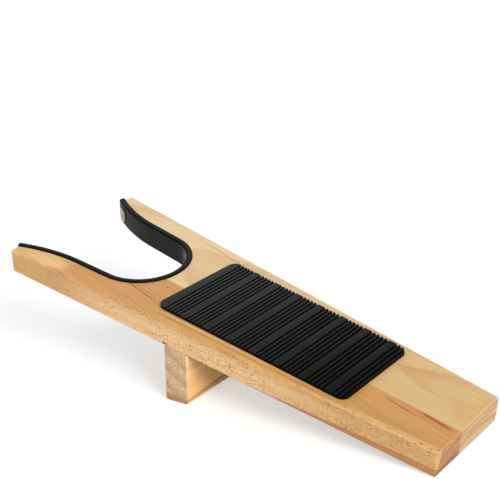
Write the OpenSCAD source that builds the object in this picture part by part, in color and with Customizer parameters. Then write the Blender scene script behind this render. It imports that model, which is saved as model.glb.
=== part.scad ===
// Wooden boot jack: a tapered two-board plate with a lined heel notch, leaned on a cross block.
// All sizes are millimetres. The origin is the middle of the block's sole, on the floor.
// X runs from the arm tips to the toe, Y to the far side and Z up.

/* [Plate] */
// Length of the plate from the arm tips to the toe
plate_l = 351; // [331:5:381]
// Width across the two arm tips
tips_w = 119; // [115:1:127]
// Width at the toe
toe_w = 65.5; // [58:0.5:76]
// Thickness of the two boards
plate_t = 18; // [16:0.5:24]
// Radius of the plate's four upright corners
corner_r = 2; // [2:0.5:5]
// Rounding along the plate's outer edges
edge_r = 1.5; // [1:0.5:2.5]
// Rounding of the toe's lower edge, which touches the floor
toe_r = 2.5; // [2:0.5:5]
// Distance of the glue line from the middle, towards the near side
glue_line = 9; // [4:1:14]

/* [Heel notch] */
// Depth of the notch in the wood, from the arm tips
notch_depth = 115; // [110:0.5:122]
// Radius of the round bottom of the notch in the wood
notch_r = 36.5; // [34:0.5:38]
// Angle by which each straight wall opens towards the tips
wall_angle = 4; // [2:0.5:6]
// Length of each straight wall, from the round bottom to the flare
wall_l = 31.5; // [20:0.5:40]
// Radius of the flared part of each wall
flare_r = 130; // [125:1:170]

/* [Liner] */
// Thickness of the strip that lines the notch
liner_t = 4.5; // [3:0.25:6]
// Height of the strip's upper rim above the plate
liner_proud = 1.2; // [0.5:0.1:2]
// Rounding of the two rims on the boot's side of the strip
rim_r = 1.6; // [0.6:0.1:2]
// Rounding of the two rims on the wood's side of the strip
back_rim_r = 0.8; // [0.3:0.1:0.9]
// Thickness of the glue film behind the strip
glue_film = 0.1; // [0.05:0.05:0.2]

/* [Tacks] */
// Diameter of a tack's domed head
tack_head_d = 12; // [9:0.5:12]
// Height of the dome
tack_head_h = 1.8; // [1.2:0.1:3]
// Thickness of the head's sheet metal
tack_sheet = 0.7; // [0.4:0.1:1]
// Diameter of a tack's shank
tack_shank_d = 1.8; // [1.4:0.1:2.4]
// Length of a tack's shank below its head
tack_shank_l = 12; // [10:0.5:13]
// Distance of a tack's axis from the end of the strip
tack_from_end = 8.5; // [6.5:0.5:12]

/* [Tread pad] */
// Distance of the pad's back edge from the arm tips
pad_x = 136; // [132:0.5:140]
// Length of the pad
pad_l = 151; // [120:1:160]
// Thickness of the pad
pad_t = 2.5; // [2:0.25:4]
// Bare wood beside the pad at its back edge
pad_back_margin = 11.7; // [6:0.1:16]
// Bare wood beside the pad at its front edge
pad_front_margin = 4.9; // [2.5:0.1:8]
// Radius of the pad's corners
pad_corner_r = 5.5; // [3:0.5:8]
// Distance between the grooves of one group
groove_pitch = 3.05; // [2.8:0.05:3.3]
// Grooves in one group
grooves_in_group = 5; // [3:1:5]
// Distance from one group of grooves to the next
group_pitch = 19.5; // [18.5:0.5:24]
// Distance of the first groove from the pad's back edge
first_groove = 6.5; // [4:0.5:10]
// Width of a groove at its mouth
groove_mouth = 1.7; // [1.2:0.1:2]
// Width of a groove at its floor
groove_floor = 1.1; // [0.6:0.1:1.2]
// Depth of a groove
groove_depth = 1.5; // [0.8:0.1:1.7]
// Narrowest rib left at the pad's front edge
end_rib = 0.8; // [0.5:0.1:3]

/* [Cross block] */
// Distance of the block's back face from the arm tips
block_x = 150.5; // [146:0.5:158]
// Thickness of the block along the plate
block_t = 20.5; // [16:0.5:22]
// Height of the block's back face
block_h = 45; // [36:0.5:50]
// How far the block's ends stay inside the plate's sides
block_inset = 0.5; // [0:0.25:3]
// Rounding of the block's long edges
block_r = 3; // [1:0.5:4]
// Rounding of the upright edges at the block's ends
block_end_r = 1.5; // [0.5:0.5:3]

/* [Screws] */
// Distance between the two screws
screw_gap = 54; // [46:1:60]
// Diameter of a screw's head
screw_head_d = 8; // [7:0.5:9]
// Diameter of a screw's shank
screw_shank_d = 4; // [3.5:0.25:4.5]
// Length of a screw
screw_l = 45; // [35:1:48]
// Depth of the head's top below the plate's top face
screw_sunk = 0.5; // [0.2:0.1:1.5]
// Clearance round each tack and screw in its hole
shank_fit = 0.1; // [0.05:0.05:0.2]

/* [Hidden] */
$fn = 96;

// Cutters reach this far past the wood, so that no skin is left
over = 5;

// The notch: the round bottom, the straight walls and the flares meet tangentially
throat_x = notch_depth - notch_r;
throat_sweep = 90 - wall_angle;
flare_start = throat_x + notch_r * sin(wall_angle) - wall_l * cos(wall_angle);
flare_cx = flare_start + flare_r * sin(wall_angle);
// The two halves of the throat share this angle at its middle
shared_angle = 0.1;

// The strip ends where the notch wall reaches the tips
end_angle = asin(flare_cx / flare_r);
strip_h = plate_t + liner_proud;
strip_back = glue_film;
strip_face = glue_film + liner_t;
flare_sweep = end_angle - wall_angle;

// A tack stands square to the strip's face, at half the plate's thickness
tack_angle = flare_sweep - tack_from_end / (flare_r + strip_face) * 180 / PI;
tack_z = plate_t / 2;
tack_point = 2.5;
dome_r = (pow(tack_head_d / 2, 2) + pow(tack_head_h, 2)) / (2 * tack_head_h);

// The pad's widths follow the plate's sides
function half_w(x) = tips_w / 2 + (toe_w - tips_w) / 2 * x / plate_l;
pad_end_x = pad_x + pad_l;
pad_back_half = half_w(pad_x) - pad_back_margin;
pad_front_half = half_w(pad_end_x) - pad_front_margin;

// Every groove that leaves a whole rib in front of it
groups = ceil(pad_l / group_pitch);
grooves = [
  for (g = [0 : groups - 1])
    for (k = [0 : grooves_in_group - 1])
      let (x = pad_x + first_groove + g * group_pitch + k * groove_pitch)
        if (x + groove_mouth / 2 + end_rib <= pad_end_x) x
];

// The plate leans until the toe's rounded edge meets the floor under the block's sole
toe_dx = plate_l - toe_r - block_x;
toe_dz = block_h + toe_r;
lean = atan2(toe_dz, toe_dx) - asin(toe_r / norm([toe_dx, toe_dz]));
block_end_x = block_x + block_t;
block_front_h = block_h - block_t * tan(lean);
block_half = half_w(block_end_x) - block_inset;
sole_x = block_x + block_t / 2;
sole_z = -(block_h + block_front_h) / 2;

// The screws sit over the middle of the block
screw_x = block_x + block_t / 2;
screw_top = plate_t - screw_sunk;
screw_rim = 0.4;
screw_cone = (screw_head_d - screw_shank_d) / 2;
screw_point = 6;
recess_w = 1.1;
recess_l = 4.4;
recess_d = 1.6;

// Unit vector from one plan point to another
function towards(p, q) = (q - p) / norm(q - p);

// Centre of the round corner at p, between its neighbours a and b
function corner_centre(a, p, b, r) =
  let (
    u = towards(p, a),
    v = towards(p, b),
    half = acos(u * v) / 2
  )
  p + (u + v) / norm(u + v) * r / sin(half);

// Where the round corner at p leaves the side that runs to a
function corner_end(a, p, b, r) =
  let (
    u = towards(p, a),
    v = towards(p, b),
    half = acos(u * v) / 2
  )
  p + u * r / tan(half);

// A convex outline whose corners are true arcs, with one radius for each corner
module rounded_outline(points, radii) {
  n = len(points);
  polygon([
    for (i = [0 : n - 1])
      for (side = [0, 1])
        let (
          a = points[(i + n - 1) % n],
          p = points[i],
          b = points[(i + 1) % n]
        )
        side == 0 ? corner_end(a, p, b, radii[i]) : corner_end(b, p, a, radii[i])
  ]);
  for (i = [0 : n - 1])
    translate(corner_centre(points[(i + n - 1) % n], points[i], points[(i + 1) % n], radii[i]))
      circle(r = radii[i]);
}

// Leans the plate and everything on it, with the block's sole on the floor
module leaned() {
  rotate([0, lean, 0])
    translate([-sole_x, 0, -sole_z])
      children();
}

// What a round edge leaves of a square corner
module corner_scrap(r) {
  difference() {
    translate([-over, -over])
      square(r + over);
    translate([r, r])
      circle(r = r);
  }
}

// Cutter that rounds one edge, from p to q, with the wood on its left
module edge_cutter(p, q, r) {
  along = q - p;
  translate([p.x, p.y, 0])
    rotate([0, 0, atan2(along.y, along.x)])
      translate([-over, 0, 0])
        rotate([90, 0, 90])
          linear_extrude(norm(along) + 2 * over)
            corner_scrap(r);
}

// Puts its children at the throat's centre, with +X square to one wall and +Y along it to the tips
module along_wall(side) {
  mirror([0, side < 0 ? 1 : 0, 0])
    translate([throat_x, 0, 0])
      rotate([0, 0, throat_sweep])
        children();
}

// Puts its children at the centre of one flare, with +X pointing back at the wall's end
module round_flare(side) {
  along_wall(side)
    translate([notch_r + flare_r, wall_l, 0])
      mirror([1, 0, 0])
        children();
}

// Cuts half of the heel notch: half the round bottom, a straight wall and its flare
module notch_half(side) {
  cut_h = plate_t + 2 * over;
  cut_l = flare_start + 2 * over;
  past_middle = notch_r / 2;
  along_wall(side)
    translate([0, 0, -over]) {
      mirror([0, 1, 0])
        rotate_extrude(angle = throat_sweep + shared_angle)
          square([notch_r, cut_h]);
      translate([-past_middle, 0, 0])
        cube([past_middle + notch_r, wall_l, cut_h]);
      difference() {
        translate([-past_middle, wall_l, 0])
          cube([past_middle + notch_r + tips_w / 2, cut_l, cut_h]);
        translate([notch_r + flare_r, wall_l, -over])
          cylinder(r = flare_r, h = cut_h + 2 * over);
      }
    }
}

// The whole plate lying flat, top face at z = plate_t
module plate() {
  corners = [
    [0, -tips_w / 2],
    [plate_l, -toe_w / 2],
    [plate_l, toe_w / 2],
    [0, tips_w / 2]
  ];
  difference() {
    linear_extrude(plate_t)
      rounded_outline(corners, [for (c = corners) corner_r]);
    for (i = [0 : 3]) {
      p = corners[i];
      q = corners[(i + 1) % 4];
      edge_cutter(p, q, i == 1 ? toe_r : edge_r);
      translate([0, 0, plate_t])
        mirror([0, 0, 1])
          edge_cutter(p, q, edge_r);
    }
    for (side = [-1, 1])
      notch_half(side);
  }
}

// One screw with its point down, or the hole for it when grown by extra
module screw_form(extra) {
  head = screw_head_d / 2 + extra;
  shank = screw_shank_d / 2 + extra;
  rotate_extrude()
    polygon([
      [0, -screw_l - extra],
      [shank, -screw_l + screw_point - extra],
      [shank, -screw_rim - screw_cone - extra],
      [head, -screw_rim - extra],
      [head, 0],
      [0, 0]
    ]);
}

// Puts its children at the top of one screw
module at_screw(side) {
  translate([screw_x, side * screw_gap / 2, screw_top])
    children();
}

// The hole for one screw, open to the top of the plate
module screw_hole(side) {
  at_screw(side) {
    screw_form(shank_fit);
    cylinder(r = screw_head_d / 2 + shank_fit, h = screw_sunk + over);
  }
}

// Puts its children on the strip's face, with +Z pointing out of it
module at_tack(side) {
  round_flare(side)
    rotate([0, 0, tack_angle])
      translate([flare_r + strip_face, 0, tack_z])
        rotate([0, 90, 0])
          children();
}

// A tack's shank with its point down, or the hole for it when grown by extra
module tack_shank(extra, top) {
  rotate_extrude()
    polygon([
      [0, -tack_shank_l - extra],
      [tack_shank_d / 2 + extra, -tack_shank_l + tack_point - extra],
      [tack_shank_d / 2 + extra, top],
      [0, top]
    ]);
}

// Half of the plate: the side of the glue line that holds one arm
module board(side) {
  reach = tips_w + over;
  edge_y = side < 0 ? -glue_line - reach : -glue_line;
  intersection() {
    difference() {
      plate();
      screw_hole(side);
      at_tack(side)
        tack_shank(shank_fit, over);
    }
    translate([-over, edge_y, -over])
      cube([plate_l + 2 * over, reach, plate_t + 2 * over]);
  }
}

module near_board() {
  color([0.79, 0.57, 0.34])
    leaned()
      board(-1);
}

module far_board() {
  color([0.86, 0.75, 0.56])
    leaned()
      board(1);
}

// A bar with round edges, its sole cut level with the floor
module cross_block() {
  section = [
    [block_x, 0],
    [block_x, -block_h],
    [block_end_x, -block_front_h],
    [block_end_x, 0]
  ];
  plan = [
    [block_x, -block_half],
    [block_end_x, -block_half],
    [block_end_x, block_half],
    [block_x, block_half]
  ];
  color([0.82, 0.66, 0.45])
    leaned()
      difference() {
        intersection() {
          rotate([90, 0, 0])
            linear_extrude(2 * block_half, center = true)
              rounded_outline(section, [for (c = section) block_r]);
          translate([0, 0, -block_h - over])
            linear_extrude(block_h + 2 * over)
              rounded_outline(plan, [for (c = plan) block_end_r]);
        }
        for (side = [-1, 1])
          screw_hole(side);
      }
}

// Side view of the pad's grooves, cut right through from side to side
module groove_sections() {
  slope = (groove_mouth - groove_floor) / 2 / groove_depth;
  top_half = groove_mouth / 2 + slope * over;
  for (x = grooves)
    translate([x, pad_t])
      polygon([
        [-groove_floor / 2, -groove_depth],
        [groove_floor / 2, -groove_depth],
        [top_half, over],
        [-top_half, over]
      ]);
}

// Ribbed mat glued to the top of the plate, cut to the plate's taper
module tread_pad() {
  corners = [
    [pad_x, -pad_back_half],
    [pad_end_x, -pad_front_half],
    [pad_end_x, pad_front_half],
    [pad_x, pad_back_half]
  ];
  color([0.15, 0.15, 0.15])
    leaned()
      translate([0, 0, plate_t])
        difference() {
          linear_extrude(pad_t)
            rounded_outline(corners, [for (c = corners) pad_corner_r]);
          rotate([90, 0, 0])
            linear_extrude(tips_w, center = true)
              groove_sections();
        }
}

// Cross-section of the strip: its back is at x = 0 and its face at x = liner_t
module strip_section() {
  rounded_outline(
    [[0, 0], [liner_t, 0], [liner_t, strip_h], [0, strip_h]],
    [back_rim_r, rim_r, rim_r, back_rim_r]
  );
}

// The strip's cross-section where the throat and the straight walls hold it
module strip_in_throat() {
  translate([notch_r - strip_back, 0])
    mirror([1, 0])
      strip_section();
}

// Half of the strip: half the throat, a straight stretch along the wall, and the flare to the tip
module strip_half(side) {
  along_wall(side) {
    mirror([0, 1, 0])
      rotate_extrude(angle = throat_sweep + shared_angle)
        strip_in_throat();
    translate([0, wall_l, 0])
      rotate([90, 0, 0])
        linear_extrude(wall_l)
          strip_in_throat();
  }
  round_flare(side)
    rotate_extrude(angle = flare_sweep)
      translate([flare_r + strip_back, 0])
        strip_section();
}

// Thick strip bent round the notch, from arm tip to arm tip
module notch_liner() {
  color([0.07, 0.07, 0.07])
    leaned()
      difference() {
        for (side = [-1, 1])
          strip_half(side);
        for (side = [-1, 1])
          at_tack(side)
            tack_shank(shank_fit, over);
      }
}

// Tack with a hollow domed head, driven through the strip into an arm
module tack(side) {
  color([0.62, 0.56, 0.43])
    leaned()
      at_tack(side) {
        difference() {
          intersection() {
            translate([0, 0, tack_head_h - dome_r])
              sphere(r = dome_r);
            cylinder(r = tack_head_d / 2, h = tack_head_h);
          }
          translate([0, 0, tack_head_h - dome_r])
            sphere(r = dome_r - tack_sheet);
        }
        tack_shank(0, tack_head_h - tack_sheet / 2);
      }
}

module near_tack() {
  tack(-1);
}

module far_tack() {
  tack(1);
}

// Two countersunk screws that hold the block, hidden under the pad
module block_screws() {
  color([0.72, 0.69, 0.6])
    leaned()
      for (side = [-1, 1])
        at_screw(side)
          difference() {
            screw_form(0);
            for (turn = [0, 90])
              rotate([0, 0, turn])
                translate([-recess_l / 2, -recess_w / 2, -recess_d])
                  cube([recess_l, recess_w, recess_d + over]);
          }
}

near_board();
far_board();
cross_block();
tread_pad();
notch_liner();
near_tack();
far_tack();
block_screws();
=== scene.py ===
"""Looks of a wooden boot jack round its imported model. Metres, +X to the toe, floor at z = 0."""

import math

import bmesh
import bpy
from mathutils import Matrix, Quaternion, Vector


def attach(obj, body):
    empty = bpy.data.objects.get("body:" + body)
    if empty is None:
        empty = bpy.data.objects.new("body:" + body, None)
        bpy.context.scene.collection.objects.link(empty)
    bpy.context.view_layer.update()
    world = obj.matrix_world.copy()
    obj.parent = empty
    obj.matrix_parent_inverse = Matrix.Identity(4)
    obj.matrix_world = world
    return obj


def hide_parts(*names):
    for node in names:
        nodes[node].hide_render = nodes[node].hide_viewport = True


MM = 0.001
WHITE = (1, 1, 1, 1)
BLACK = (0, 0, 0, 1)

# The camera, with its focal length in pixels of a view that is VIEW_PIXELS wide
VIEW_PIXELS = 500
FOCAL_PIXELS = 948.5
SENSOR = 36.0
CLIP_START = 0.01
EYE = Vector((0.45559, -0.38941, 0.31707))
AIM = Vector((-0.16057, 0.19923, 0.0))
ROLL = math.radians(-9.67)

# Even light from all round, then the soft boxes: name, place, width and watts. The key stands far
# out past the toe, the fill on the near side, and the back light past the tips on the far side.
AMBIENT = 0.4
LAMPS = (
    ("key", (3.5, -0.84, 1.9), 1.4, 145),
    ("fill", (0.2, -2.3, 1.0), 1.5, 18),
    ("back", (-1.1, 1.35, 1.25), 1.0, 4),
)

# The floor is seen as white by its own glow, which is FLOOR_GLOW near the jack, where shadows
# fall, and rises to full white over GLOW_RISE, in metres from the origin
FLOOR_SPAN = 30
FLOOR_TONE = (0.645, 0.66, 0.672)
FLOOR_FLECK = 0.02
FLOOR_GLOW = 0.46
GLOW_RISE = (0.4, 1.0)

# The plate's outline in millimetres: half its width at the tips, and what each side loses per mm
TIP_HALF = 59.5
TAPER = 26.75 / 351

# Shading: a face larger than FLAT_AREA is flat, and an edge sharper than SMOOTH_ANGLE stays hard
SMOOTH_ANGLE = math.radians(35)
FLAT_AREA = 40 * MM * MM

# Copies of nodes: points nearer than WELD are one, and so are faces within FLAT_ANGLE
WELD = 0.005 * MM
FLAT_ANGLE = math.radians(0.5)

# A face is on top where the z of its normal is above this
TOP_FACE_Z = 0.9

# How far the block's ends stay inside the plate's sides, in millimetres
BLOCK_INSET = 0.25

# The mat's ribs: the round on their edges, and how those edges are told by depth and angle
RIB_ROUND = 0.22 * MM
RIB_TOP = 0.02 * MM
RIM_ANGLE = 0.5

# The mat's back end: its last stretch moves out by a middle amount and a skew
MAT_END_RIB = 5 * MM
MAT_END_SHIFT = 1.0 * MM
MAT_SKEW = 0.018

# The tacks
TACK_HEAD_H = 1.8 * MM
TACK_HEAD_R = 5.9 * MM
TACK_RIM = 0.55 * MM
TACK_SHANK_R = 0.9 * MM
TACK_POINT_L = 2.5 * MM
TACK_STEPS = 48
TACK_WELD = 0.003 * MM

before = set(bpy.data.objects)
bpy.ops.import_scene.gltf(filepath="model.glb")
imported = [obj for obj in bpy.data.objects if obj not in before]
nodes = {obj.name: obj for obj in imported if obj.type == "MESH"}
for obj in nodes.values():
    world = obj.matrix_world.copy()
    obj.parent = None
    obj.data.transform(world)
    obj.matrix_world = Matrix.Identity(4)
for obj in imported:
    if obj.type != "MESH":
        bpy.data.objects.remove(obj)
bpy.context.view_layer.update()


# Shader expressions


def srgb(red, green, blue):
    """A colour given as it looks, 0 to 255, in the linear values that shaders take."""
    values = [c / 255 for c in (red, green, blue)]
    linear = [c / 12.92 if c <= 0.04045 else ((c + 0.055) / 1.055) ** 2.4 for c in values]
    return (*linear, 1.0)


def both_ways(operation):
    """An operator and its reflected form, each of which adds one Math node."""

    def forward(self, other):
        return self.maths(operation, self, other)

    def reflected(self, other):
        return self.maths(operation, other, self)

    return forward, reflected


class Wire:
    """A shader socket that stands in an expression."""

    def __init__(self, paint, socket):
        self.paint = paint
        self.socket = socket

    def maths(self, operation, *values):
        return self.paint.add("ShaderNodeMath", {"operation": operation}, dict(enumerate(values)))

    __add__, __radd__ = both_ways("ADD")
    __sub__, __rsub__ = both_ways("SUBTRACT")
    __mul__, __rmul__ = both_ways("MULTIPLY")
    __truediv__, __rtruediv__ = both_ways("DIVIDE")
    __pow__, __rpow__ = both_ways("POWER")

    def __abs__(self):
        return self.maths("ABSOLUTE", self)

    def most(self, other):
        return self.maths("MAXIMUM", self, other)

    def fraction(self):
        return self.maths("FRACT", self)


class Paint:
    """The nodes of a material or of the world, with the few kinds that this jack's looks use."""

    def __init__(self, owner, surface="Principled BSDF"):
        owner.use_nodes = True
        self.owner = owner
        self.tree = owner.node_tree
        self.surface = self.tree.nodes[surface]

    def add(self, kind, settings=None, inputs=None, out=0):
        """Adds one node: its settings first, then the values or wires of its inputs."""
        node = self.tree.nodes.new(kind)
        for name, value in (settings or {}).items():
            setattr(node, name, value)
        for key, value in (inputs or {}).items():
            self.feed(node.inputs[key], value)
        return Wire(self, node.outputs[out])

    def feed(self, socket, value):
        """Gives a socket a value or a wire."""
        if isinstance(value, Wire):
            self.tree.links.new(value.socket, socket)
        else:
            socket.default_value = value

    def coordinates(self, kind):
        """The Object coordinates of a point, or the Normal there."""
        return self.add("ShaderNodeTexCoord", out=kind)

    def vector(self, operation, first, second, out="Vector"):
        inputs = {0: first, 1: second}
        return self.add("ShaderNodeVectorMath", {"operation": operation}, inputs, out)

    def towards(self, direction):
        """How far the surface faces a direction: 1 straight at it, -1 straight away."""
        return self.vector("DOT_PRODUCT", self.coordinates("Normal"), tuple(direction), "Value")

    def scaled(self, vector, scale):
        return self.vector("MULTIPLY", vector, scale)

    def parts(self, vector):
        split = self.add("ShaderNodeSeparateXYZ", inputs={0: vector}).socket.node
        return [Wire(self, socket) for socket in split.outputs]

    def joined(self, x, y, z):
        return self.add("ShaderNodeCombineXYZ", inputs={0: x, 1: y, 2: z})

    def noise(self, place, sizes, detail=2.0, roughness=0.5):
        """Soft noise, about 0.5 on average, with lumps of these sizes along each axis."""
        spread = self.scaled(place, [1 / size for size in sizes])
        inputs = {"Vector": spread, "Scale": 1.0, "Detail": detail, "Roughness": roughness}
        return self.add("ShaderNodeTexNoise", inputs=inputs)

    def cells(self, place, sizes, out):
        """One random colour for each cell of these sizes, or the distance to its middle."""
        spread = self.scaled(place, [1 / size for size in sizes])
        return self.add("ShaderNodeTexVoronoi", {}, {"Vector": spread, "Scale": 1.0}, out)

    def rise(self, value, low, high):
        """0 below low, 1 above high and smooth between; it falls where low is the greater."""
        inputs = {"Value": value, "From Min": low, "From Max": high}
        return self.add("ShaderNodeMapRange", {"interpolation_type": "SMOOTHSTEP"}, inputs)

    def blend(self, factor, first, second):
        """A mix of two colours."""
        return self.add("ShaderNodeMix", {"data_type": "RGBA"}, {0: factor, 6: first, 7: second}, 2)

    def shade(self, colour, factor):
        """colour made darker or lighter by a factor."""
        inputs = {0: colour, "Scale": factor}
        return self.add("ShaderNodeVectorMath", {"operation": "SCALE"}, inputs)

    def bump(self, height, strength, depth):
        """Raises the surface by height times depth, in metres."""
        inputs = {"Height": height, "Strength": strength, "Distance": depth}
        self.feed(self.surface.inputs["Normal"], self.add("ShaderNodeBump", {}, inputs))

    def finish(self, **values):
        """Sets the shader's own sockets, named with underscores for spaces."""
        for name, value in values.items():
            self.feed(self.surface.inputs[name.replace("_", " ")], value)
        return self.owner


def new_paint(name):
    """A new material to paint with."""
    return Paint(bpy.data.materials.new(name))


# Camera, floor and light


def look(place, target):
    """The turn that points a camera or a lamp from place to target."""
    return (Vector(target) - Vector(place)).to_track_quat("-Z", "Y")


def set_up(name, data, place, turn):
    """Puts a camera or a lamp in its place and returns it."""
    item = bpy.data.objects.new(name, data)
    item.location = place
    item.rotation_mode = "QUATERNION"
    item.rotation_quaternion = turn
    bpy.context.collection.objects.link(item)
    return item


def make_camera():
    """Long lens, a little above the jack, tipped to the right."""
    data = bpy.data.cameras.new("camera")
    data.sensor_width = SENSOR
    data.lens = FOCAL_PIXELS / VIEW_PIXELS * SENSOR
    data.clip_start = CLIP_START
    turn = look(EYE, AIM) @ Quaternion((0, 0, 1), ROLL)
    bpy.context.scene.camera = set_up("camera", data, EYE, turn)


def make_lamp(name, place, width, watts):
    """A square soft box that looks at the jack from place."""
    data = bpy.data.lights.new(name, "AREA")
    data.shape = "SQUARE"
    data.size = width
    data.energy = watts
    set_up(name, data, place, look(place, (0, 0, 0)))


def backdrop_rays(paint):
    """1 for the rays that see the backdrop as it is: camera, glossy and transmission rays."""
    kinds = ("Is Camera Ray", "Is Glossy Ray", "Is Transmission Ray")
    camera, glossy, transmission = [paint.add("ShaderNodeLightPath", out=kind) for kind in kinds]
    return camera.most(glossy).most(transmission)


def make_world():
    """Even ambient light; the camera and reflections see it as white."""
    paint = Paint(bpy.data.worlds.new("studio"), "Background")
    level = backdrop_rays(paint) * (1 - AMBIENT) + AMBIENT
    bpy.context.scene.world = paint.finish(Color=WHITE, Strength=level)


def white_paper():
    """White paper: it takes the jack's shadow, and it is seen as white elsewhere."""
    paint = new_paint("white_paper")
    place = paint.coordinates("Object")
    fleck = paint.noise(place, (0.3, 0.3, 0.3))
    shares = (1 - FLOOR_FLECK, 1 + FLOOR_FLECK)
    dark, light = [(*[tone * share for tone in FLOOR_TONE], 1) for share in shares]
    away = paint.rise(paint.vector("LENGTH", place, (0, 0, 0), "Value"), *GLOW_RISE)
    level = backdrop_rays(paint) * (away * (1 - FLOOR_GLOW) + FLOOR_GLOW)
    return paint.finish(
        Base_Color=paint.blend(fleck, dark, light),
        Roughness=0.9,
        Specular_IOR_Level=0.0,
        Emission_Color=paint.blend(level, BLACK, WHITE),
        Emission_Strength=1.0,
    )


# The plate's own frame: millimetres from the tips, from the middle and above the top face


def plate_axes():
    """The plate's directions along and up, from the tread pad's flat top."""
    up = Vector((0, 0, 0))
    for face in nodes["tread_pad"].data.polygons:
        if face.normal.z > TOP_FACE_Z:
            up += face.normal * face.area
    up.normalize()
    return Vector((up.z, 0, -up.x)), up


ALONG, UP = plate_axes()
LEAN = math.atan2(UP.x, UP.z)
BOARD_POINTS = [v.co for name in ("near_board", "far_board") for v in nodes[name].data.vertices]
TIPS = min(p.dot(ALONG) for p in BOARD_POINTS)
TOP = max(p.dot(UP) for p in BOARD_POINTS)
PLATE_L = (max(p.dot(ALONG) for p in BOARD_POINTS) - TIPS) / MM
PLATE_T = (TOP - min(p.dot(UP) for p in BOARD_POINTS)) / MM


def plate_place(paint):
    """Object coordinates turned into the plate's frame, in millimetres."""
    inputs = {
        "Vector": paint.coordinates("Object"),
        "Location": (-TIPS / MM, 0, -TOP / MM),
        "Rotation": (0, -LEAN, 0),
        "Scale": (1 / MM, 1 / MM, 1 / MM),
    }
    return paint.add("ShaderNodeMapping", {"vector_type": "POINT"}, inputs)


def half_width(x):
    """Half the plate's width at x from the tips, for a number or a wire."""
    return TIP_HALF - x * TAPER


# Figure of the wood, for a place in millimetres with the grain along X


def ring_radius(paint, place, pith_y, pith_z, dive, sway):
    """Distance from a pith line that runs along X and nears the surface by dive per mm."""
    x, y, z = paint.parts(place)
    drift = paint.noise(place, (170, 45, 45)) - 0.5
    ripple = paint.noise(place, (38, 12, 12)) - 0.5
    across = y - pith_y
    deep = z - pith_z + (PLATE_L - x) * dive
    return (across * across + deep * deep) ** 0.5 + drift * sway + ripple * (sway * 0.16)


def rings(paint, radius, spacing):
    """Growth rings: 0 in early wood, rising to 1 at each ring's sharp dark end."""
    turn = (radius / spacing).fraction()
    return (paint.rise(turn, 0.1, 0.92) ** 1.6) * paint.rise(turn, 1.0, 0.93)


def fibres(paint, place):
    """Fine threads along the grain, about 0.5 on average."""
    fine = paint.noise(place, (55, 0.75, 0.75), detail=3.0, roughness=0.7)
    broad = paint.noise(place, (130, 3.4, 3.4))
    return (fine * 0.6 + broad * 0.4 - 0.5) * 2.2 + 0.5


def grain_lines(paint, place):
    """A few thin darker lines along the grain."""
    lines = paint.noise(place, (80, 1.0, 1.0), detail=1.0)
    gate = paint.noise(place, (90, 14, 14), detail=1.0)
    return paint.rise(lines, 0.55, 0.7) * paint.rise(gate, 0.4, 0.6)


def pores(paint, place, sizes, share):
    """Small dark spots, one in some of the cells."""
    distance = paint.cells(place, sizes, "Distance")
    pick = paint.parts(paint.cells(place, sizes, "Color"))[0]
    return paint.rise(distance, 0.42, 0.25) * paint.rise(pick, 1.0 - share, 1.05 - share)


def speckle(paint, place):
    """The open pores of end grain: a gritty mix of light and dark."""
    grit = paint.noise(place, (1.1, 1.1, 1.1), detail=3.0, roughness=0.75)
    return paint.rise(grit, 0.36, 0.64)


# Marks in set places of the plate's frame


def streak(paint, place, start, end, width):
    """A thin line on the top face from start to end, fading at both ends."""
    x, y, z = paint.parts(place)
    slope = (end[1] - start[1]) / (end[0] - start[0])
    wander = paint.noise(place, (26, 400, 400), detail=1.0) - 0.5
    off = abs(y - (x - start[0]) * slope - start[1] + wander * 1.4)
    fade = (end[0] - start[0]) * 0.3
    ends = paint.rise(x, start[0], start[0] + fade) * paint.rise(x, end[0], end[0] - fade)
    return paint.rise(off, width, width * 0.15) * ends * paint.rise(z, -4, -1)


def streaks(paint, place, rows):
    """Several streaks together, each with its own start, end, width and strength."""
    marks = 0.0
    for start, end, width, strength in rows:
        marks = (streak(paint, place, start, end, width) * strength).most(marks)
    return marks


def patch(paint, place, centre, reach):
    """1 at centre, falling smoothly to 0 at reach along each axis."""
    x, y, z = [
        (value - middle) / half for value, middle, half in zip(paint.parts(place), centre, reach)
    ]
    return paint.rise(x * x + y * y + z * z, 1.0, 0.0)


def stripe(paint, off, reach):
    """1 where off is nothing, falling to 0 at reach on both sides."""
    return paint.rise(abs(off), reach, reach * 0.2)


def end_faces(paint, direction):
    """1 on the faces at both ends of a piece that lies along direction."""
    return paint.rise(abs(paint.towards(direction)), 0.55, 0.85)


# The near board, honey-coloured. Its tones, from the top down the side to the end grain
ARM_PALE = srgb(223, 181, 120)
ARM_GOLD = srgb(198, 145, 84)
HONEY = srgb(203, 156, 88)
TOE_HONEY = srgb(190, 143, 82)
AMBER_CLOUD = srgb(190, 133, 68)
AMBER_RING = srgb(179, 119, 60)
PALE_LINE = srgb(226, 184, 110)
DARK_THREADS = srgb(168, 108, 52)
ARM_SIDE = srgb(205, 156, 98)
CREAM_SIDE = srgb(234, 193, 141)
TOE_SIDE = srgb(205, 160, 104)
SIDE_RING = srgb(212, 156, 98)
HEART = srgb(180, 116, 56)
HEART_SEAM = srgb(148, 88, 42)
GRAIN_LINE = srgb(166, 102, 50)
PORE = srgb(140, 80, 42)
TOE_AMBER = srgb(186, 120, 60)
CHECK = srgb(128, 68, 32)
BARK = srgb(108, 60, 34)
RUST = srgb(178, 104, 50)
# The end grain tones are darker partly as end grain and partly as painted shade, against the strong
# light on the toe's end
END_DARK = srgb(154, 108, 66)
END_LIGHT = srgb(186, 138, 88)
END_RING = srgb(142, 92, 58)
END_HEART = srgb(128, 78, 44)

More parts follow.
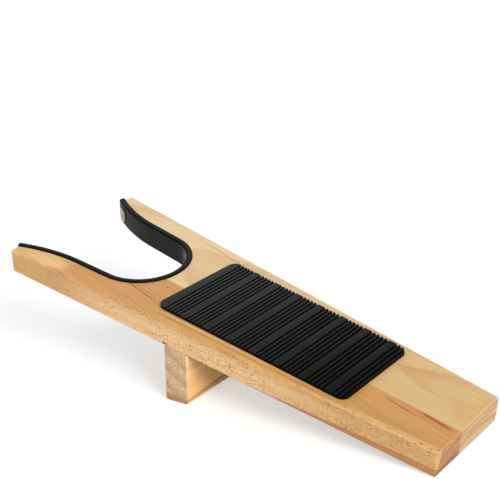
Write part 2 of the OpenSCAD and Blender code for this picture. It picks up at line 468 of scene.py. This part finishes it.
# Where its tones start and end, in millimetres from the tips
ARM_TO_MAT = (110, 190)
MAT_TO_TOE = (220, 330)
THROAT = (90, 150)
SIDE_CLEARS = (40, 110)
SIDE_DARKENS = (190, 330)
HEART_STARTS = (195, 250)
SEAM_STARTS = (215, 255)
PORES_START = (60, 120)
STRIP_START = (128, 150)
STRIP_END = (305, 280)
SKIN_WIDENS = (230, 345)
TIPS_END = (200, 150)
LAST_EDGE = (340, 345)

# The pale skin of the sawn side, in millimetres: its inner edge, how it fades up the arris, and how
# much further over the arris it reaches at the toe
SKIN_EDGE = (-1.5, -0.35)
SKIN_FADES = (0.5, -5)
SKIN_GROWS = 3.2

# The gold behind the throat starts along a slanting line, which clouds in the wood shift
GOLD_START = (38, 62)
GOLD_Y = -45
GOLD_SLANT = 1.4
GOLD_WANDER = 70

# Lines along the near side of the mat: how far out they start, their turn inwards and their reach
MAT_START = 136
PALE_LINE_RUN = (39.6, 0.031, 1.6)
DARK_THREADS_RUN = (42.5, 0.05, 1.7)

# The brown heart's layer: its top at one point of the side, its rise to the toe and its wave
HEART_X = 265
HEART_Z = -15.7
HEART_RISE = 0.031
HEART_WAVE = 3

# Two dark checks by the notch, two streaks at the toe and one by the tip
NEAR_STREAKS = (
    ((90, -29.2), (134, -34.7), 0.85, 1.0),
    ((96, -27.4), (132, -31.4), 0.7, 0.6),
    ((297, -11.7), (328, -15.4), 0.7, 1.0),
    ((322, -9.7), (349, -12.0), 1.5, 1.0),
    ((42, -53.0), (60, -55.4), 0.6, 0.5),
)

# Spots, each with its centre and its reach
PIN_KNOT_SPOT = ((122.4, -16.2, 0), (1.1, 0.9, 2))
BARK_SPOT = ((151.8, -47.9, -16.6), (3.0, 3, 2.0))
RUST_SPOT = ((204, -43.6, 0), (13, 2.4, 3.0))
TOE_AMBER_SPOT = ((331, -10.8, 0), (26, 4.4, 6))


def beside_mat(paint, x, y, out, inwards, reach):
    """A line that starts out millimetres from the middle and comes inwards along the mat."""
    return stripe(paint, y + out - (x - MAT_START) * inwards, reach)


def honey_top(paint, place, ring):
    """The top's colour: pale near the tip, gold behind the throat, honey beside the mat."""
    x, y, z = paint.parts(place)
    cloud = paint.noise(place, (55, 16, 16))
    bend = x - (y - GOLD_Y) * GOLD_SLANT + (cloud - 0.5) * GOLD_WANDER
    colour = paint.blend(paint.rise(bend, *GOLD_START), ARM_PALE, ARM_GOLD)
    colour = paint.blend(paint.rise(x, *ARM_TO_MAT), colour, HONEY)
    # Darker towards the toe, partly the wood's tone and partly painted shade
    colour = paint.blend(paint.rise(x, *MAT_TO_TOE), colour, TOE_HONEY)
    colour = paint.blend(paint.rise(cloud, 0.35, 0.75) * 0.5, colour, AMBER_CLOUD)
    colour = paint.blend(ring * paint.rise(x, *THROAT) * 0.3, colour, AMBER_RING)

    # A pale line follows the mat's edge, with darker threads between it and the side
    strip = paint.rise(x, *STRIP_START) * paint.rise(x, *STRIP_END) * 0.6
    colour = paint.blend(beside_mat(paint, x, y, *PALE_LINE_RUN) * strip, colour, PALE_LINE)
    return paint.blend(beside_mat(paint, x, y, *DARK_THREADS_RUN) * strip, colour, DARK_THREADS)


def heart_height(paint, place):
    """Height above the brown heart's layer, which thickens along the lower edge to the toe."""
    x, y, z = paint.parts(place)
    wave = paint.noise(place, (30, 30, 30)) - 0.5
    return z - HEART_Z - (x - HEART_X) * HEART_RISE + wave * HEART_WAVE


def sawn_side(paint, place, ring, above, heart):
    """The side's colour: paler than the top, with the heart and its dark seam at the bottom."""
    x = paint.parts(place)[0]
    colour = paint.blend(paint.rise(x, *SIDE_CLEARS), ARM_SIDE, CREAM_SIDE)
    # Darker towards the toe, partly the wood's tone and partly painted shade
    colour = paint.blend(paint.rise(x, *SIDE_DARKENS), colour, TOE_SIDE)
    colour = paint.blend(ring * 0.35, colour, SIDE_RING)
    colour = paint.blend(heart * 0.85, colour, HEART)
    seam = stripe(paint, above - 0.4, 0.9) * paint.rise(x, *SEAM_STARTS)
    return paint.blend(seam * 0.6, colour, HEART_SEAM)


def honey_end(paint, place, ring, above, side, grit):
    """End grain: brown and gritty at the toe, much as the side at the tips."""
    x = paint.parts(place)[0]
    # Partly painted shade: these tones are written dark against the light on the toe's end
    colour = paint.blend(grit, END_DARK, END_LIGHT)
    colour = paint.blend(ring * 0.5, colour, END_RING)
    colour = paint.blend(paint.rise(above, 0.6, -0.6) * 0.75, colour, END_HEART)
    return paint.blend(paint.rise(x, *TIPS_END), colour, paint.shade(side, grit * 0.5 + 0.6))


def near_board_wood():
    """Honey-coloured pine: threads on top, short pores on its side, brown heart at the toe."""
    paint = new_paint("honey_pine")
    place = plate_place(paint)
    x, y, z = paint.parts(place)
    edge_way = paint.joined(x, y + (PLATE_L - x) * TAPER, z)
    radius = ring_radius(paint, edge_way, pith_y=-8, pith_z=-47, dive=0.012, sway=3)
    ring = rings(paint, radius, spacing=6.5)
    grain = paint.joined(x, y + x * 0.125, z)
    thread = fibres(paint, grain)
    above = heart_height(paint, place)
    heart = paint.rise(above, 0.7, -0.5) * paint.rise(x, *HEART_STARTS)

    # Top and side meet in the arris, and the side's pale skin runs over it at the toe
    widens = paint.rise(x, *SKIN_WIDENS)
    outside = -1 * (y + half_width(x)) + widens * (z / PLATE_T + 1) * SKIN_GROWS
    skin = paint.rise(outside, *SKIN_EDGE)
    side = sawn_side(paint, place, ring, above, heart)
    lower = paint.rise(z, *SKIN_FADES).most(widens)
    colour = paint.blend(skin * lower, honey_top(paint, place, ring), side)
    colour = paint.shade(colour, thread * 0.3 + 0.85)
    colour = paint.blend(grain_lines(paint, grain) * 0.5, colour, GRAIN_LINE)

    # Run-out pores as short dashes on the side, above the heart
    gate = paint.rise(x, *PORES_START) * paint.rise(paint.noise(place, (30, 9, 5)), 0.36, 0.52)
    dashes = pores(paint, place, (3.3, 1.6, 0.6), share=0.5) * skin * gate * (1 - heart)
    colour = paint.blend(dashes * 0.9, colour, PORE)

    colour = paint.blend(patch(paint, place, *TOE_AMBER_SPOT) * 0.6, colour, TOE_AMBER)
    marks = streaks(paint, place, NEAR_STREAKS).most(patch(paint, place, *PIN_KNOT_SPOT))
    colour = paint.blend(marks * 0.85, colour, CHECK)
    colour = paint.blend(patch(paint, place, *BARK_SPOT) * 0.9, colour, BARK)
    colour = paint.blend(patch(paint, place, *RUST_SPOT) * 0.55, colour, RUST)

    grit = speckle(paint, place)
    last_edge = paint.rise(x, *LAST_EDGE) * paint.rise(outside, -0.8, 0.1)
    ends = end_faces(paint, ALONG) * (1 - skin * last_edge)
    colour = paint.blend(ends, colour, honey_end(paint, place, ring, above, side, grit))
    height = thread - dashes * 0.3 - marks * 0.5 + grit * ends * 0.5
    paint.bump(height, strength=0.3, depth=0.2 * MM)
    return paint.finish(Base_Color=colour, Roughness=thread * 0.16 + 0.46, IOR=1.45)


# The far board, pale. Its tones, from the top down the side to the end grain
ARM_CREAM = srgb(222, 199, 158)
TOE_STRAW = srgb(202, 170, 118)
STRAW_CLOUD = srgb(214, 176, 122)
STRAW_RING = srgb(200, 152, 96)
V_FIGURE = srgb(196, 147, 90)
FAR_GRAIN_LINE = srgb(180, 124, 74)
FAR_PORE = srgb(146, 92, 54)
FAR_STREAK = srgb(176, 116, 62)
FAR_END_DARK = srgb(188, 148, 104)
FAR_END_LIGHT = srgb(214, 178, 130)
FAR_END_RING = srgb(146, 100, 62)
FAR_END_LINE = srgb(128, 84, 52)

# Where the arm's cream turns to straw, in millimetres from the tips
CREAM_TO_STRAW = (60, 320)

# The V's middle line and point, how fast it opens, and where it starts, ends and fades sideways
V_MIDDLE = 18.5
V_POINT = 282
V_OPENS = 0.4
V_START = (280, 290)
V_END = (345, 300)
V_SIDE_FADE = (2, 22)

# A streak inside the V, and one from the far arm to the mat
FAR_STREAKS = (
    ((306, 11.5), (326, 8.6), 0.6, 0.5),
    ((84, 48.0), (180, 34.5), 1.2, 0.45),
)

# A dark line across the toe's end grain
TOE_LINE_SPOT = ((PLATE_L, 12, -5), (9, 34, 0.9))


def v_figure(paint, place, cloud):
    """The V where a growth ring leaves the top: it opens to the toe, and its middle is lighter."""
    x, y, z = paint.parts(place)
    off = abs(y - V_MIDDLE)
    spread = (x - V_POINT) * V_OPENS + (cloud - 0.5) * 8
    inside = paint.rise(off, spread, spread - 4)
    hollow = paint.rise(off, spread - 4, spread - 13)
    stretch = paint.rise(x, *V_START) * paint.rise(x, *V_END) * paint.rise(y, *V_SIDE_FADE)
    return inside * (1 - hollow * 0.6) * stretch


def far_board_wood():
    """Pale pine, flat sawn, with one soft V-shaped figure that opens towards the toe."""
    paint = new_paint("pale_pine")
    place = plate_place(paint)
    x, y, z = paint.parts(place)
    edge_way = paint.joined(x, y - (PLATE_L - x) * TAPER * 0.7, z)
    radius = ring_radius(paint, edge_way, pith_y=8, pith_z=-92, dive=0.07, sway=7)
    ring = rings(paint, radius, spacing=8.5)
    thread = fibres(paint, edge_way)
    cloud = paint.noise(place, (70, 18, 18))
    colour = paint.blend(paint.rise(x, *CREAM_TO_STRAW), ARM_CREAM, TOE_STRAW)
    colour = paint.blend(paint.rise(cloud, 0.35, 0.7) * 0.5, colour, STRAW_CLOUD)
    colour = paint.blend(ring * 0.5, colour, STRAW_RING)
    colour = paint.blend(v_figure(paint, place, cloud), colour, V_FIGURE)
    colour = paint.shade(colour, thread * 0.2 + 0.9)
    colour = paint.blend(grain_lines(paint, edge_way) * 0.3, colour, FAR_GRAIN_LINE)
    skin = paint.rise(y - half_width(x), *SKIN_EDGE)
    dashes = pores(paint, place, (3.6, 2.0, 0.8), share=0.16) * skin
    colour = paint.blend(dashes * 0.6, colour, FAR_PORE)
    colour = paint.blend(streaks(paint, place, FAR_STREAKS), colour, FAR_STREAK)

    ends = end_faces(paint, ALONG)
    grit = speckle(paint, place)
    end = paint.blend(grit, FAR_END_DARK, FAR_END_LIGHT)
    end = paint.blend(ring * 0.5, end, FAR_END_RING)
    end = paint.blend(patch(paint, place, *TOE_LINE_SPOT) * 0.7, end, FAR_END_LINE)
    colour = paint.blend(ends, colour, end)
    height = thread + ring * 0.4 - dashes * 0.8 + grit * ends * 0.5
    paint.bump(height, strength=0.3, depth=0.2 * MM)
    return paint.finish(Base_Color=colour, Roughness=thread * 0.16 + 0.46, IOR=1.45)


# The block's tones, along its faces and on its end grain
# The face tones are partly the wood's pale tone and partly painted light, lifted against the
# plate's shade on the block's front
BLOCK_PALE = srgb(244, 194, 134)
BLOCK_RING = srgb(226, 164, 102)
BLOCK_LINE = srgb(178, 112, 60)
BLOCK_LOW_LINE = srgb(186, 116, 58)
BLOCK_END_DARK = srgb(182, 144, 102)
BLOCK_END_LIGHT = srgb(230, 200, 158)
BLOCK_END_RING = srgb(166, 120, 82)
BLOCK_END_FOOT = srgb(158, 92, 52)

# Its low dark line: height at one y, rise along y and width, then where its ends' foot darkens
LOW_LINE_Z = -54.5
LOW_LINE_Y = -34
LOW_LINE_RISE = 0.08
LOW_LINE_WIDTH = (2.2, 0.4)
FOOT_DARKENS = (-54.5, -57.5)


def block_wood():
    """Pine with its grain across the jack, so that its two ends show gritty end grain."""
    paint = new_paint("block_pine")
    place = plate_place(paint)
    x, y, z = paint.parts(place)
    grain = paint.joined(y, x, z + y * 0.1)
    radius = ring_radius(paint, grain, pith_y=188, pith_z=26, dive=0.0, sway=3)
    ring = rings(paint, radius, spacing=13)
    thread = fibres(paint, grain)
    # Partly painted light: the pale face tones make up for the plate's shade
    colour = paint.blend(ring * 0.35, BLOCK_PALE, BLOCK_RING)
    colour = paint.shade(colour, thread * 0.26 + 0.87)
    colour = paint.blend(grain_lines(paint, grain) * 0.4, colour, BLOCK_LINE)
    low_line = abs(z - LOW_LINE_Z - (y - LOW_LINE_Y) * LOW_LINE_RISE)
    colour = paint.blend(paint.rise(low_line, *LOW_LINE_WIDTH) * 0.65, colour, BLOCK_LOW_LINE)

    ends = end_faces(paint, (0, 1, 0))
    grit = speckle(paint, place)
    end = paint.blend(grit, BLOCK_END_DARK, BLOCK_END_LIGHT)
    end = paint.blend(ring * 0.5, end, BLOCK_END_RING)
    end = paint.blend(paint.rise(z, *FOOT_DARKENS) * 0.7, end, BLOCK_END_FOOT)
    colour = paint.blend(ends, colour, end)
    paint.bump(thread + grit * ends, strength=0.35, depth=0.2 * MM)
    return paint.finish(Base_Color=colour, Roughness=thread * 0.12 + 0.52, IOR=1.45)


# Rubber and metal

GROOVE_SHADE = srgb(3, 3, 3)
PAD_BLACK = srgb(12, 12, 11)
PAD_SHEEN = srgb(43, 44, 42)
PAD_EDGE_HIGHLIGHT = srgb(74, 74, 72)
LINER_BLACK = srgb(4, 4, 4)
LINER_LIT_GREY = srgb(34, 33, 30)
LINER_SHEEN = srgb(128, 126, 121)
BRASS_LIGHT = srgb(178, 164, 136)
BRASS_DARK = srgb(138, 120, 90)
BRASS_RIM_SHADOW = srgb(52, 44, 34)
ZINC_DARK = srgb(190, 184, 166)
ZINC_LIGHT = srgb(206, 198, 172)

# The mat: where its painted sheen comes in, from the toe's side, and the heights of rib edges and
# lands
PAD_SHEEN_FADE = (300, 110)
RIB_EDGE_Z = (2.1, 2.3)
LAND_Z = (1.9, 2.42)

# The liner: from its rim's top down to its face, and the spot of painted sheen at the throat
LINER_FACE_Z = (0.2, -1.4)
SHEEN_SPOT = ((103, 19, -8), (20, 20, 16))


def pad_rubber():
    """Charcoal rubber with a painted sheen that greys it towards the tips, painted highlights on
    its rib edges and painted shade that blackens its grooves.
    """
    paint = new_paint("pad_rubber")
    place = plate_place(paint)
    x, y, z = paint.parts(place)
    grain = paint.noise(place, (0.5, 0.5, 0.5), detail=3.0, roughness=0.6)
    # Painted sheen: the lands grow greyer towards the tips, along a wavering edge
    sheen_wobble = paint.noise(place, (22, 14, 8), detail=3.0)
    sheen = paint.rise(x + (sheen_wobble - 0.5) * 60, *PAD_SHEEN_FADE)
    land = paint.blend(sheen, PAD_BLACK, PAD_SHEEN)
    # Painted highlight: rib edges lighter where the bevel turns from the top, within the sheen
    edges = paint.rise(paint.towards(UP), 0.995, 0.93) * paint.rise(z, *RIB_EDGE_Z) * sheen
    land = paint.blend(edges * 0.35, land, PAD_EDGE_HIGHLIGHT)
    # Painted shade: below the lands the grooves and the mat's sides turn near black
    colour = paint.blend(paint.rise(z, *LAND_Z), GROOVE_SHADE, land)
    paint.bump(grain, strength=0.2, depth=0.1 * MM)
    rough = grain * 0.14 + 0.5
    return paint.finish(Base_Color=colour, Roughness=rough, IOR=1.5, Specular_IOR_Level=0.06)


def liner_rubber():
    """Black rubber, its face painted greyer than the rim as painted light, with a painted sheen at
    the throat's far bend.
    """
    paint = new_paint("liner_rubber")
    place = plate_place(paint)
    z = paint.parts(place)[2]
    grain = paint.noise(place, (0.7, 0.7, 0.7), detail=3.0, roughness=0.6)
    smear = paint.noise(place, (16, 16, 6))
    # Painted light: the face below the rim is painted grey, lighter than the black rim
    face = paint.rise(z, *LINER_FACE_Z) * (smear * 0.5 + 0.75)
    colour = paint.blend(face, LINER_BLACK, LINER_LIT_GREY)
    # Painted sheen: a lighter grey spot on the face at the throat's far bend
    colour = paint.blend(patch(paint, place, *SHEEN_SPOT) * face, colour, LINER_SHEEN)
    paint.bump(grain, strength=0.15, depth=0.1 * MM)
    rough = grain * 0.1 + 0.4
    return paint.finish(Base_Color=colour, Roughness=rough, IOR=1.5, Specular_IOR_Level=0.055)


def metal_place(paint):
    """Object coordinates in millimetres."""
    return paint.scaled(paint.coordinates("Object"), (1 / MM, 1 / MM, 1 / MM))


def antique_brass():
    """Stamped brass with a dull brown bloom, and a painted shadow round the rim."""
    paint = new_paint("antique_brass")
    place = metal_place(paint)
    spots = paint.noise(place, (0.9, 0.9, 0.9), detail=3.0)
    bloom = paint.noise(place, (3.5, 3.5, 3.5))
    colour = paint.blend(paint.rise(bloom, 0.35, 0.7), BRASS_LIGHT, BRASS_DARK)
    # Painted shadow: near black-brown where the head's faces turn away from the Y axis, round its
    # rim
    front = abs(paint.towards((0, 1, 0)))
    colour = paint.blend(paint.rise(front, 0.8, 0.4) * 0.8, colour, BRASS_RIM_SHADOW)
    paint.bump(spots, strength=0.25, depth=0.1 * MM)
    return paint.finish(Base_Color=colour, Metallic=0.9, Roughness=spots * 0.2 + 0.3)


def zinc_steel():
    """Plated screws with a faint yellow passivation."""
    paint = new_paint("zinc_steel")
    spots = paint.noise(metal_place(paint), (1.6, 1.6, 1.6))
    colour = paint.blend(spots, ZINC_DARK, ZINC_LIGHT)
    return paint.finish(Base_Color=colour, Metallic=1.0, Roughness=spots * 0.15 + 0.3)


# Pieces


def wear(piece, material):
    """Gives a piece, or a node that is kept, one material in all its slots."""
    if not piece.material_slots:
        piece.data.materials.append(material)
    for slot in piece.material_slots:
        slot.material = material


def add_piece(name, build, material, replaced):
    """Turns a finished bmesh into a piece that stands for a CAD node and rides with the jack."""
    mesh = bpy.data.meshes.new(name)
    for face in build.faces:
        face.smooth = face.calc_area() < FLAT_AREA
    build.to_mesh(mesh)
    build.free()
    mesh.set_sharp_from_angle(angle=SMOOTH_ANGLE)
    piece = bpy.data.objects.new(name, mesh)
    bpy.context.collection.objects.link(piece)
    wear(piece, material)
    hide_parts(replaced)
    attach(piece, "root")


def solid_copy(node):
    """A node's mesh as one closed surface with large flat faces."""
    build = bmesh.new()
    build.from_mesh(nodes[node].data)
    bmesh.ops.remove_doubles(build, verts=build.verts, dist=WELD)
    bmesh.ops.dissolve_limit(build, angle_limit=FLAT_ANGLE, verts=build.verts, edges=build.edges)
    return build


def block_mesh():
    """The cross block, with its ends trimmed flush with the plate's tapered sides."""
    build = solid_copy("cross_block")
    reach = max(v.co.y for v in build.verts) / MM
    for vert in build.verts:
        from_tips = (vert.co.dot(ALONG) - TIPS) / MM
        vert.co.y *= (half_width(from_tips) - BLOCK_INSET) / reach
    return build


def mat_mesh():
    """The tread pad with its ribs' edges slightly rounded and its back end cut a little askew."""
    build = solid_copy("tread_pad")
    height = max(v.co.dot(UP) for v in build.verts)
    top = {v for v in build.verts if height - v.co.dot(UP) < RIB_TOP}
    rim = [e for e in build.edges if top.issuperset(e.verts) and e.calc_face_angle(0) > RIM_ANGLE]
    bmesh.ops.bevel(
        build, geom=rim, offset=RIB_ROUND, segments=2, profile=0.5, affect="EDGES", material=-1
    )
    back = min(v.co.dot(ALONG) for v in build.verts)
    for vert in [v for v in build.verts if v.co.dot(ALONG) < back + MAT_END_RIB]:
        vert.co -= ALONG * (MAT_END_SHIFT - vert.co.y * MAT_SKEW)
    return build


def settle_order(build):
    """Puts the faces in the order of their points, because spin leaves theirs to chance."""
    build.verts.index_update()
    ordered = sorted(build.faces, key=lambda face: sorted(v.index for v in face.verts))
    for index, face in enumerate(ordered):
        face.index = index
    build.faces.sort()


def tack_outline(shank_l):
    """Radius and height of a tack's outline, from its point over the rolled edge to the top."""
    edge = TACK_HEAD_R
    top = TACK_HEAD_H
    return [
        (0.0, -shank_l),
        (TACK_SHANK_R, TACK_POINT_L - shank_l),
        (TACK_SHANK_R, top - 1.1 * MM),
        (edge - 2.2 * TACK_RIM, top - 1.2 * MM),
        (edge - TACK_RIM, 0.25 * MM),
        (edge - 0.6 * TACK_RIM, 0.02 * MM),
        (edge - 0.15 * TACK_RIM, 0.08 * MM),
        (edge, 0.35 * MM),
        (edge - 0.25 * TACK_RIM, 0.75 * MM),
        (edge - 1.3 * TACK_RIM, 1.15 * MM),
        (edge * 0.62, top - 0.28 * MM),
        (edge * 0.3, top - 0.06 * MM),
        (0.0, top),
    ]


def tack_mesh(node):
    """A tack in its CAD node's place: a flat-topped dome with a steep rolled edge, and a shank."""
    points = [v.co for v in nodes[node].data.vertices]
    tip = max(points, key=lambda p: abs(p.y))
    apex = max(points, key=lambda p: (p - tip).length)
    axis = (apex - tip).normalized()
    outline = tack_outline((apex - tip).length - TACK_HEAD_H)
    build = bmesh.new()
    ring = [build.verts.new((radius, 0, height)) for radius, height in outline]
    edges = [build.edges.new(pair) for pair in zip(ring, ring[1:])]
    bmesh.ops.spin(
        build,
        geom=ring + edges,
        cent=(0, 0, 0),
        axis=(0, 0, 1),
        angle=2 * math.pi,
        steps=TACK_STEPS,
        use_merge=True,
    )
    bmesh.ops.remove_doubles(build, verts=build.verts, dist=TACK_WELD)
    bmesh.ops.recalc_face_normals(build, faces=build.faces)
    settle_order(build)
    turn = axis.to_track_quat("Z", "Y").to_matrix().to_4x4()
    turn.translation = apex - axis * TACK_HEAD_H
    bmesh.ops.transform(build, matrix=turn, verts=build.verts)
    return build


make_camera()
make_world()
for lamp in LAMPS:
    make_lamp(*lamp)

bpy.ops.mesh.primitive_plane_add(size=FLOOR_SPAN)
floor = bpy.context.object
floor.name = "floor"
wear(floor, white_paper())

wear(nodes["near_board"], near_board_wood())
wear(nodes["far_board"], far_board_wood())
wear(nodes["notch_liner"], liner_rubber())
wear(nodes["block_screws"], zinc_steel())
add_piece("tread_mat", mat_mesh(), pad_rubber(), "tread_pad")
add_piece("support_block", block_mesh(), block_wood(), "cross_block")
brass = antique_brass()
for side in ("near", "far"):
    add_piece(f"{side}_brass_tack", tack_mesh(f"{side}_tack"), brass, f"{side}_tack")

bpy.context.scene.view_settings.view_transform = "Standard"
